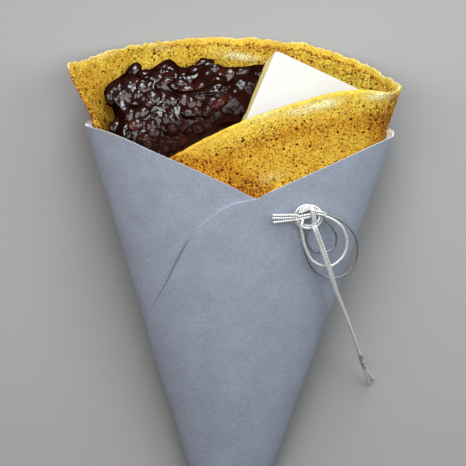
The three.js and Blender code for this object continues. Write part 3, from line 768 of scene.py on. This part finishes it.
def crepe_browning(place, turn, along, rim, inward, step):
    """What varies over the crepe: how brown, with painted shade in the groove and along the step between the
    layers; how pale, from pale crumb along the rim and painted highlights in patches; how full of holes; how
    deeply coloured, with painted shading on the fan; and 1 on the inner face. Each is a sum of soft patches
    and of bells along an edge."""
    x, y = place[..., 0], place[..., 1]
    outside = 1 - inward
    front = smooth(turn, -1, 1) * (1 - smooth(turn, 165, 175)) * outside
    below_rim = rim - along
    side = HALF_WIDTH * along - np.abs(x)
    left_edge = bell(turn, 181, 9) * (1 - smooth(inward, 0.8, 1.0)) * smooth(198.5 - along, -1, 3)
    # Patches, then the line above the sleeve's rim, the left edge, the right side, the line between the two
    # ragged edges, which paints shade in the step between the layers, and painted shade in the groove.
    browning_and_shade = front * patches(x, y, FOLD_BROWNED)
    browning_and_shade += front * 0.5 * bell(along, sleeve_rim(turn), 2.0) * (0.4 + 0.6 * smooth(-x, -8, 12))
    browning_and_shade += inward * patches(x, y, FAN_BROWNED)
    browning_and_shade += 1.5 * left_edge
    browning_and_shade += 0.3 * bell(np.maximum(side - 1.0, 0), 0, 2.0) * (x > 0) * outside
    line = 1.7 + 0.7 * ripple(place, 2.6, 35)
    browning_and_shade += line * bell(below_rim, step - 0.1, 0.45) * smooth(step, 1.2, 2.2) * smooth(inward, 0.3, 0.5)
    browning_and_shade += 2.4 * bell(turn, GROOVE_TURN, 1.6) * smooth(along, 181, 188) * outside
    # Pale patches are painted highlights where the light catches the crepe; the pale line along the ragged
    # rim is pale crumb.
    pale = front * patches(x, y, FOLD_SHEEN) + inward * patches(x, y, FAN_SHEEN)
    pale += 0.75 * bell(below_rim, 0, 0.7) * ragged_share(turn, 1) * (1 - 0.5 * inward)
    pale = pale * (1 - left_edge)
    holes = front * smooth(below_rim, 2.0, 6.5) + inward * smooth(below_rim, 0.6, 3.0) + left_edge
    deep_and_shaded = 0.05 + 0.42 * smooth(below_rim, 3, 14)
    deep_and_shaded += 0.75 * bell(along, sleeve_rim(turn), 9) * smooth(-x, -12, 6)
    deep_and_shaded += 0.25 * bell(side, 2, 6) * (x > 0) * smooth(190 - along, 0, 8)
    left_end = (1 - smooth(x, -58, -34)) * (1 - smooth(y, 188, 200))
    # On the fan the colour deepens to the left and lightens to the right: painted shading.
    deep_and_shaded = mix(deep_and_shaded, 1 - smooth(x, 12, 42) + 0.9 * left_end, inward)
    most = {"browning_and_shade": 1.4, "pale": 1, "holes": 1, "deep_and_shaded": 2, "inner": 1}
    values = zip(most, (browning_and_shade, pale, holes, deep_and_shaded, inward))
    return {name: np.clip(value, 0, most[name]) for name, value in values}


def pore_layer(maker, place, size, widest, share, blur):
    """Dark spots with a random radius: balls round one random point in each cell of space, cut by the
    surface. Size, widest and blur are millimetres; share is the part of the cells that have one."""
    cells = {"Vector": place, "Scale": 1 / (size * MM)}
    distance = maker.node("TexVoronoi", {}, cells)
    chance = maker.node("SeparateColor", {}, {0: maker.node("TexVoronoi", {}, cells, out=1)})
    opened = chance + share - 1.0
    radius = opened.step(0, 0.03) * (0.55 + 0.45 * opened) * (widest / size)
    return ((radius - distance) * (size / blur)).clamped()


def crepe_finish():
    """Baked batter: golden, deeper in clouds and toasted in patches, finely grained and full of small dark
    pores, with pale flecks along the rim and painted highlights where the light catches it. The toasted
    brown also paints shade in the groove and along the step between the layers, and the fan's colour carries
    painted shading, deeper to the left and lighter to the right."""
    material, maker = new_finish("baked_crepe")
    place = maker.place()
    browning_and_shade, pale, holes, deep_and_shaded = (maker.attribute(name) for name in ("browning_and_shade", "pale", "holes", "deep_and_shaded"))
    cloud = maker.noise(place, 7, 4, 0.6)
    sponge = maker.noise(place, 0.8, 3, 0.75)
    # Toasted brown, which also paints the shade of the groove and of the step between the layers.
    toast_and_shade = (browning_and_shade * (4.6 * sponge - 1.8) + 0.7 * (cloud - 0.58)).clamped()
    golden = (deep_and_shaded + 1.4 * (cloud - 0.5) + 0.5 * browning_and_shade).clamped().blend(GOLDEN, DEEP_GOLDEN)
    fan = (cloud * 2.2 - 0.95 + 0.45 * deep_and_shaded).clamped().blend(FAN_GOLDEN, FAN_DEEP)
    colour = maker.attribute("inner").blend(golden, fan)
    grain = (sponge - 0.44).clamped() * (2.6 + 2.4 * holes)
    colour = grain.clamped().blend(colour, SPECK)
    colour = toast_and_shade.blend(colour, TOASTED_AND_SHADE_BROWN)
    grit = maker.noise(place, 0.6, 3, 0.7)
    fleck = (grit + 0.16 * pale).step(0.54, 0.61) * pale
    # Pale crumb flecks along the rim, and painted highlights in the pale patches.
    colour = (fleck * 0.95 + pale * 0.04).clamped().blend(colour, PALE_CRUMB_AND_SHEEN)
    dots = pore_layer(maker, place, size=0.9, widest=0.42, share=0.5 + 0.35 * holes, blur=0.2)
    colour = (dots * (0.2 + 0.4 * holes)).blend(colour, SPECK)
    some = 0.25 + 0.42 * holes
    fewer = 0.14 + 0.44 * holes + 0.3 * browning_and_shade
    fewest = 0.03 + 0.36 * holes + 0.4 * browning_and_shade
    fine = pore_layer(maker, place, size=0.95, widest=0.36, share=some, blur=0.12)
    middling = pore_layer(maker, place, size=1.5, widest=0.58, share=fewer, blur=0.14)
    large = pore_layer(maker, place, size=2.5, widest=0.9, share=fewest, blur=0.2)
    pores = (fine * 0.7).or_higher((middling * 0.9).or_higher(large)) * (1.0 - 0.6 * pale)
    colour = pores.blend(colour, PORE)
    height = sponge * 0.6 - pores + 0.4 * fleck
    return set_shader(
        material, maker, colour, height, 0.35, Roughness=0.6 - 0.25 * fleck, Specular_IOR_Level=0.12,
    )


crepe_shape = crepe_skin()
crepe_solid = loft(crepe_shape[0], **crepe_browning(*crepe_shape))
make_piece("rolled_crepe", [crepe_solid], crepe_finish(), ["crepe"])

# Sweet red bean paste ------------------------
# Whole and half-crushed boiled beans in a dark, glossy syrup. The heap lies on the fan, ends in a steep
# rounded edge above and on the left, and goes down behind the front fold.
HEAP_SLOPE = [(112, 42), (150, 42), (163, 39.5), (176, 33.5), (190, 25.5), (200, 18.5), (206, 14)]
HEAP_EDGE = [
    (-54, 187), (-52.3, 189), (-50.5, 192), (-46, 195.2), (-43.8, 197), (-42, 199.2), (-40, 197),
    (-34.7, 198.3), (-28.8, 202), (-26.5, 202), (-23.4, 199.7), (-17.7, 200.2), (-15.8, 202.9), (-13.6, 203),
    (-10.5, 200.4), (-0.6, 200), (9, 201), (24, 194), (38, 187), (52, 172),
]
HEAP_LEFT = [
    (112, -30), (150, -42), (160, -46), (168, -48.8), (174, -48.8), (178.5, -47.6), (182.3, -48.4),
    (186.1, -50.8), (190.3, -52.4), (204, -54),
]
HEAP_FOOT = 151
HEAP_RIGHT = 46
HEAP_LIP = 2.0  # width of its rounded edge
BEANS_ACROSS = (-56, 12)  # stretches that whole and crushed beans are strewn over
BEANS_UP = (158, 204)
EDGE_ACROSS = (-52.3, 9)  # and those of its upper and left edge that have a row of beans
EDGE_UP = (160, 188)
FACE_LEAN = -0.5  # radians that the beans lean with the open face
BEAN_HALF = np.array([3.35, 2.3, 2.0])
SLAB_LINE = (12.9, 206.6, 0.3946)  # the butter's top corner, and its side's lean for each millimetre
SYRUP_POOL = [(-9.5, 173.5, 13, 3.4, 22, 1.0)]
SHADED_LINE = (-28.2, 167.6, 0.51)  # a point of the front fold's edge and its slope
SYRUP = (0.016, 0.0042, 0.0024)
BEAN_DARK = (0.021, 0.0056, 0.0042)
BEAN_RED = (0.06, 0.012, 0.007)


def crepe_face(x, y, front):
    """Height of the crepe's inner face at a place, in front or behind: the turn is found by correcting the
    place across eight times."""
    reach = HALF_WIDTH * y
    across = np.clip(x / reach, -0.98, 0.98)
    for _ in range(8):
        turn = np.degrees(np.arccos(across))
        turn = turn if front else 360 - turn
        point = cone_point(turn, y, crepe_inset(turn, y) + 2 * layer_thickness(turn))
        across = np.clip(across + (x - point[..., 0]) / reach, -0.98, 0.98)
    return point[..., 2]


def domes(x, y, spacing, lean, bend, seed):
    """Highest of many shallow domes, one round a random point of each cell of a square grid: each leans its
    own way, stands at its own height, and falls off with the square of the distance times the bend."""
    draw = np.random.default_rng(seed)
    moved = draw.uniform(0.1, 0.9, (64, 64, 2))
    slope = draw.normal(0, lean, (64, 64, 2))
    lift = draw.uniform(-0.7, 0.7, (64, 64))
    column, row = np.floor(x / spacing).astype(int), np.floor(y / spacing).astype(int)
    highest = np.full(x.shape, -9.0)
    for i in (-1, 0, 1):
        for j in (-1, 0, 1):
            cell = (column + i) % 64, (row + j) % 64
            east = x - (column + i + moved[cell][..., 0]) * spacing
            north = y - (row + j + moved[cell][..., 1]) * spacing
            rise = lift[cell] + east * slope[cell][..., 0] + north * slope[cell][..., 1]
            highest = np.maximum(highest, rise - bend * (east**2 + north**2))
    return highest


def heap_top(x, y):
    """Height of the open face: a slope from the sleeve's rim to the fan, lower towards the sides."""
    return curve_through(HEAP_SLOPE, y) - 5 * ((x + 14) / 34) ** 2


def heap_roll(x, y):
    """Share of the heap's full thickness, a quarter circle over the lip's width, and the way to the edge."""
    inward = [curve_through(HEAP_EDGE, x) - y, x - curve_through(HEAP_LEFT, y)]
    rounds = [np.sqrt(np.clip(1 - (1 - np.clip(d / HEAP_LIP, 0, 1)) ** 2, 0, 1)) for d in inward]
    return rounds[0] * rounds[1], np.minimum(*inward)


def heap_height(x, y):
    """Height of the smooth face over the fan, cut down near the edge to a steep slope, the share of it that
    the rounded edge leaves, and the fan's own height."""
    base = crepe_face(x, y, False)
    roll, way = heap_roll(x, y)
    full = np.maximum(heap_top(x, y) - base, 2.4)
    return np.minimum(full, 2.8 + 4.0 * way) * roll, roll, base


def shine(x, y):
    """Share of the full gloss, cut back as painted shade where the front fold shades the heap: little in the
    pool, and less close to the edge of the front fold.
    """
    pool = smooth(patches(x, y, SYRUP_POOL), 0.06, 0.3)
    clear = y - SHADED_LINE[1] - SHADED_LINE[2] * (x - SHADED_LINE[0])
    return mix(1, 0.15, pool) * mix(0.08, 1, smooth(clear, 3, 18))


def slab_side(y):
    """Line of the butter's left side."""
    return SLAB_LINE[0] + SLAB_LINE[2] * (y - SLAB_LINE[1])


def heap_core():
    """Syrup-coated mass: sections from left to right. The top of each is the heap's face with lumps of
    crushed beans, creases and wrinkles, calm in the pool, sunk under the butter, and rounded down to the fan
    along the edge; its underside is below the fan's face."""
    seen = 170
    u = np.linspace(0, 1, 240)[:, None]
    v = np.concatenate([np.linspace(0, 1, seen), np.linspace(1, 0, 14)[1:-1]])[None, :]
    under = np.arange(v.size)[None, :] >= seen
    y = mix(HEAP_FOOT, 203.5, v)
    left = np.maximum(curve_through(HEAP_LEFT, y), 7 - HALF_WIDTH * y)
    x = mix(left, HEAP_RIGHT, u)
    y = mix(HEAP_FOOT, curve_through(HEAP_EDGE, x), v)
    calm = 1 - smooth(patches(x, y, SYRUP_POOL), 0.25, 0.7)
    flat = np.stack([x, y, 0 * x], axis=-1)
    bent_x, bent_y = x + 0.9 * ripple(flat, 6, 54), y + 0.9 * ripple(flat, 6, 55)
    lumps = domes(bent_x, bent_y, spacing=7.0, lean=0.27, bend=0.03, seed=17)
    small_lumps = domes(bent_x, bent_y, spacing=3.8, lean=0.35, bend=0.10, seed=6)
    lumps += 0.6 * smooth(ripple(flat, 13, 56), 0.0, 0.5) * small_lumps
    creases = 0.12 * np.abs(ripple(flat, 4.2, 51)) + 0.11 * ripple(flat, 1.9, 57)
    height, roll, base = heap_height(x, y)
    under_slab = smooth(x - slab_side(y), -1, 3)
    relief = calm * (lumps - creases) + 0.4 * ripple(flat, 11, 52) + 0.3 - 2.5 * under_slab
    top = base + height + relief * roll - 0.9 * (1 - roll)
    top = np.minimum(top, crepe_face(x, y, True) - 0.3)
    rings = np.stack([x, y, np.where(under, base - 1.1, np.maximum(top, base - 0.9))], axis=-1)
    gloss = mix(0.2, 1.0, smooth(heap_roll(x, y)[1], 0.5, 2.0)) * shine(x, y)
    return loft(rings, tint=0.0, wet=1.0, gloss=gloss)


def bean_bodies(count, rows, columns, seed, crushed):
    """Barrel-shaped bean for each draw: an oval with blunt ends, bent a little, its skin creased by folded
    waves and finely wrinkled; a crushed one is flat and deeply creased. Points are about its middle."""
    draw = np.random.default_rng(seed)
    down = np.linspace(0, np.pi, rows)[None, :, None]
    around = once_round(columns)[None]
    x = signed_power(np.cos(down), 0.85) * np.ones_like(around)
    girth = np.sin(down) ** 0.88
    body = np.stack(np.broadcast_arrays(x, girth * np.cos(around), girth * np.sin(around)), axis=-1)
    body = np.repeat(body, count, axis=0)
    half = BEAN_HALF * draw.uniform(0.75, 1.2, (count, 1)) * draw.uniform(0.85, 1.12, (count, 3))
    half[:, 2] *= draw.uniform(0.4, 0.7, count) if crushed else 1
    place = body + draw.uniform(0, 400, (count, 1, 1, 3))
    depth = 0.12 if crushed else 0.04
    skin = 1.08 - depth * (np.abs(ripple(place, 1.7, seed + 1)) + 0.4 * np.abs(ripple(place, 0.8, seed + 2)))
    skin = skin + 0.05 * ripple(place, 2.6, seed + 3) + 0.035 * ripple(place, 0.5, seed + 4)
    body = body * skin[..., None] * half[:, None, None, :]
    body[..., 2] -= 0.04 * body[..., 0] ** 2
    return body


def turned(bodies, yaw, pitch, roll):
    """Bodies turned about X by roll, Y by pitch and Z by yaw."""
    def rotation(angle, i, j):
        made = np.tile(np.eye(3), (len(angle), 1, 1))
        made[:, i, i] = made[:, j, j] = np.cos(angle)
        made[:, i, j], made[:, j, i] = -np.sin(angle), np.sin(angle)
        return made
    matrix = rotation(yaw, 0, 1) @ rotation(pitch, 2, 0) @ rotation(roll, 1, 2)
    return np.einsum("nij,nrcj->nrci", matrix, bodies)


def bean_places(step, margin, seed, keep):
    """Places on a jittered triangular grid over the open face, left of the butter and clear of the pool."""
    draw = np.random.default_rng(seed)
    columns, rows = np.meshgrid(np.arange(*BEANS_ACROSS, step), np.arange(*BEANS_UP, step * 0.86))
    columns = columns + np.arange(len(rows))[:, None] % 2 * step / 2
    x = columns.ravel() + draw.uniform(-0.3, 0.3, columns.size) * step
    y = rows.ravel() + draw.uniform(-0.3, 0.3, rows.size) * step
    shown = (y < curve_through(HEAP_EDGE, x) - margin) & (x > curve_through(HEAP_LEFT, y) + margin)
    shown &= (x < slab_side(y) - margin) & (patches(x, y, SYRUP_POOL) < 0.5)
    shown &= y > curve_through(FRONT_RIM, x / (HALF_WIDTH * y)) - 1
    shown &= draw.uniform(0, 1, x.size) < keep
    return x[shown], y[shown]


def heap_outline(step, inset, seed):
    """Places along the heap's left and upper edge, at random steps, moved into the heap square to the edge,
    with the edge's heading there."""
    fine = 0.2
    y = np.linspace(*EDGE_UP, 60)
    x = np.linspace(*EDGE_ACROSS, 120)
    edge = np.vstack([
        np.stack([curve_through(HEAP_LEFT, y), y], axis=1),
        np.stack([x, curve_through(HEAP_EDGE, x)], axis=1),
    ])
    line = smooth_line(np.column_stack([edge, np.zeros(len(edge))]), fine)[:, :2]
    heading = unit(np.gradient(line, axis=0))
    draw = np.random.default_rng(seed)
    run = np.cumsum(draw.uniform(0.8, 1.3, 40) * step)
    index = (run[run < len(line) * fine] / fine).astype(int)
    x, y = (line + inset * np.stack([heading[:, 1], -heading[:, 0]], axis=1))[index].T
    return x, y, np.arctan2(heading[index, 1], heading[index, 0])


def bean_skins(places, seed, rise, rows, columns, crushed=False, yaw=None):
    """Closed skins of beans at their places, leaning with the face and sunk into it by a random depth. They
    lie at random, or along a given heading."""
    x, y = places
    draw = np.random.default_rng(seed)
    count = len(x)
    bodies = bean_bodies(count, rows + 2, columns, seed + 200, crushed)
    spin = draw.uniform(0, np.pi, count), draw.normal(0, 0.35, count), draw.uniform(-0.6, 0.6, count)
    bodies = turned(bodies, spin[0] if yaw is None else yaw + 0.5 * spin[1], *spin[1:])
    level = np.zeros(count)
    bodies = turned(bodies, level, level, level + FACE_LEAN)
    height, _, base = heap_height(x, y)
    z = base + height + rise + draw.uniform(-1.1, 0.5, count)
    z = np.minimum(np.maximum(z, base + 1.0), crepe_face(x, y, True) - 2.6)
    tint = draw.uniform(0, 1, count) ** 4
    middle = np.stack([x, y, z], axis=-1)[:, None, None]
    gloss = 0.9 * shine(x, y)
    bodies = bodies[:, 1:-1] + middle
    return [loft(body, tint=t, wet=0.0, gloss=g) for body, t, g in zip(bodies, tint, gloss)]


def bean_finish():
    """Dark bean skins, some redder, and darker syrup between them, with a glossy coat where they face up."""
    material, maker = new_finish("syrup_beans")
    place = maker.place()
    cloud = maker.noise(place, 2.4, 3)
    skin = (maker.attribute("tint") * 0.9 + 0.4 * (cloud - 0.45)).clamped().blend(BEAN_DARK, BEAN_RED)
    colour = maker.attribute("wet").blend(skin, SYRUP)
    fold = maker.noise(place, 3.2, 1, 0.4)
    pucker = (fold - 0.5).without_sign() * 1.2
    fine = maker.noise(place, 1.1, 1, 0.5) * 0.36 * cloud.step(0.42, 0.6)
    upward = maker.node("SeparateXYZ", {}, {0: maker.node("NewGeometry", out=1)}, out=2)
    return set_shader(
        material, maker, colour, pucker + fine, 0.35, Roughness=0.4, Specular_IOR_Level=0.0,
        Coat_Weight=maker.attribute("gloss") * upward.step(0.68, 0.85), Coat_Roughness=0.15, Coat_IOR=1.7,
    )


whole_at = bean_places(step=6.6, margin=2.6, seed=41, keep=0.6)
crushed_at = bean_places(step=5.6, margin=1.4, seed=43, keep=0.85)
edge_x, edge_y, edge_heading = heap_outline(step=8.0, inset=2.4, seed=47)
heap = [heap_core()]
heap += bean_skins(whole_at, 141, rise=0.6, rows=23, columns=22)
heap += bean_skins((edge_x, edge_y), 147, rise=-1.2, rows=21, columns=20, yaw=edge_heading)
heap += bean_skins(crushed_at, 143, rise=1.1, rows=21, columns=20, crushed=True)
make_piece("red_bean_heap", heap, bean_finish(), ["bean_paste"])

# Butter slab ------------------------
# A square slice of cold butter pushed into the mouth, its upper face turned to the front; its left side
# slopes out a little below that face.
SLAB = (37, 36, 9)
SLAB_CORNER = (12.9, 206.6, 25)  # upper corner on the left, and the heading of the side below it
SLAB_EDGE = (-0.367, -0.93)
SLAB_TILT = math.radians(26)
SLAB_ROLL = math.radians(5)
SLAB_DRAFT = 1.1  # how far the left side slopes out
SLAB_ROUNDING = 0.4
SLAB_BLUNT = 30  # power of the rectangle's curve: the higher, the sharper its corners
BUTTER = (0.62, 0.612, 0.578)
BUTTER_SHADE = (0.585, 0.57, 0.51)
BUTTER_YELLOW = (0.90, 0.70, 0.16)


def slab_skin():
    """Rings round the slab from the middle of its lower face out, up its rounded edges and in over the
    upper face. Each ring is a rectangle with blunt corners, |x / a| ** SLAB_BLUNT + |y / b| ** SLAB_BLUNT
    = 1; the left side moves out with depth. The whole is turned into the slab's own axes at its corner."""
    width, length, height = SLAB
    rounding = SLAB_ROUNDING
    innermost = 16
    arc = np.linspace(0, np.pi / 2, 7)
    below = np.linspace(innermost, rounding, 14)[:-1]
    wall = np.linspace(height - rounding, rounding, 14)[1:-1]
    above = np.linspace(rounding, innermost, 22)[1:]
    sinking, swinging = rounding * (1 - np.sin(arc)), rounding * (1 - np.cos(arc))
    inset = np.concatenate([below, sinking, 0 * wall, swinging, above])
    depth = np.concatenate([height + 0 * below, height - swinging, wall, sinking, 0 * above])
    angle = once_round(200)
    power = 2 / SLAB_BLUNT
    x = signed_power(np.cos(angle), power) * (width / 2 - inset[:, None])
    y = signed_power(np.sin(angle), power) * (length / 2 - inset[:, None])
    left = np.clip(-x / (width / 2), 0, 1) ** 4
    share = depth[:, None] / height
    x = x - SLAB_DRAFT * share * left + width / 2
    y = y - length / 2
    z = -depth[:, None] + 0.05 * ripple(np.stack([x, y, 0 * x], axis=-1), 14, 61)
    level_share = math.cos(SLAB_TILT)
    down = unit(np.array([SLAB_EDGE[0] * level_share, SLAB_EDGE[1] * level_share, math.sin(SLAB_TILT)]))
    level = np.array([-SLAB_EDGE[1], SLAB_EDGE[0], -math.tan(SLAB_ROLL)])
    across = unit(level - down * (level @ down))
    up = np.cross(across, -down)
    points = x[..., None] * across - y[..., None] * down + z[..., None] * up + np.array(SLAB_CORNER)
    side = left * smooth(depth[:, None], 0.3, 0.9)
    # Painted shade: a darker patch over the right part of the face.
    shade = smooth(points[..., 0], 26, 30) * smooth(-points[..., 1], -200, -197)
    return loft(points, side=side, depth=depth[:, None], shade=shade)


def butter_finish():
    """Smooth pale butter that lets light in; its cut side is creamy, with a golden band below the edge, and
    a painted shade darkens the right part of its face.
    """
    material, maker = new_finish("butter")
    depth = maker.attribute("depth")
    side = maker.attribute("side")
    band = depth.step(1.8, 3.2) * (1 - depth.step(5.5, 7.5))
    cloud = maker.noise(maker.place(), 3)
    face = maker.attribute("shade").blend(BUTTER, BUTTER_SHADE)
    colour = (side * (0.35 + 0.65 * band) + 0.04 * cloud).blend(face, BUTTER_YELLOW)
    return set_shader(
        material, maker, colour, cloud, 0.03, Roughness=0.45, Subsurface_Weight=0.25,
        Subsurface_Radius=(2.5, 2.0, 1.0), Subsurface_Scale=0.001, Specular_IOR_Level=0.35,
    )


make_piece("slice_of_butter", [slab_skin()], butter_finish(), ["butter_slab"])

# Floor and light ------------------------
# Plain pale floor that the cone lies on, and soft light: wide lamps above, to the right and, weaker, to the
# left, a large cool window beyond the mouth that glints on the beans, and an even pale sky.
FLOOR_PALE = (0.36, 0.36, 0.355)
FLOOR_REACH = 12.0  # metres, as are the places and sizes of the lamps
SKY = (0.88, 0.94, 1.0)
SKY_STRENGTH = 0.1
# Name, place from the origin, size, power, spread in degrees and colour of each lamp.
LAMPS = [
    ("overhead_lamp", (-0.02, 0.11, 0.27), 0.26, 0.47, 180, (1.0, 0.985, 0.97)),
    ("key_lamp", (0.29, 0.17, 0.23), 0.32, 0.86, 180, (0.97, 0.985, 1.0)),
    ("fill_lamp", (-0.33, 0.12, 0.22), 0.28, 0.52, 180, (1.0, 0.94, 0.93)),
    ("window_lamp", (0.02, 0.69, 0.38), 0.46, 0.37, 45, (0.84, 0.92, 1.0)),
]

floor_mesh = bpy.data.meshes.new("floor")
corners = [(x * FLOOR_REACH, y * FLOOR_REACH, 0) for x, y in ((-1, -1), (1, -1), (1, 1), (-1, 1))]
floor_mesh.from_pydata(corners, [], [(0, 1, 2, 3)])
floor_material, floor_maker = new_finish("floor_paint")
floor_mesh.materials.append(set_shader(floor_material, floor_maker, FLOOR_PALE, Roughness=0.9))
floor = new_object("floor", floor_mesh)

for name, place, size, power, spread, colour in LAMPS:
    light = bpy.data.lights.new(name, "AREA")
    light.shape = "DISK"
    light.size = size
    light.energy = power
    light.spread = math.radians(spread)
    light.color = colour
    lamp = new_object(name, light)
    lamp.location = place
    lamp.rotation_euler = Vector(place).to_track_quat("Z", "Y").to_euler()
    lamp.visible_camera = False

world = bpy.data.worlds.new("studio")
world.use_nodes = True
sky = world.node_tree.nodes["Background"]
sky.inputs["Color"].default_value = (*SKY, 1)
sky.inputs["Strength"].default_value = SKY_STRENGTH
bpy.context.scene.world = world
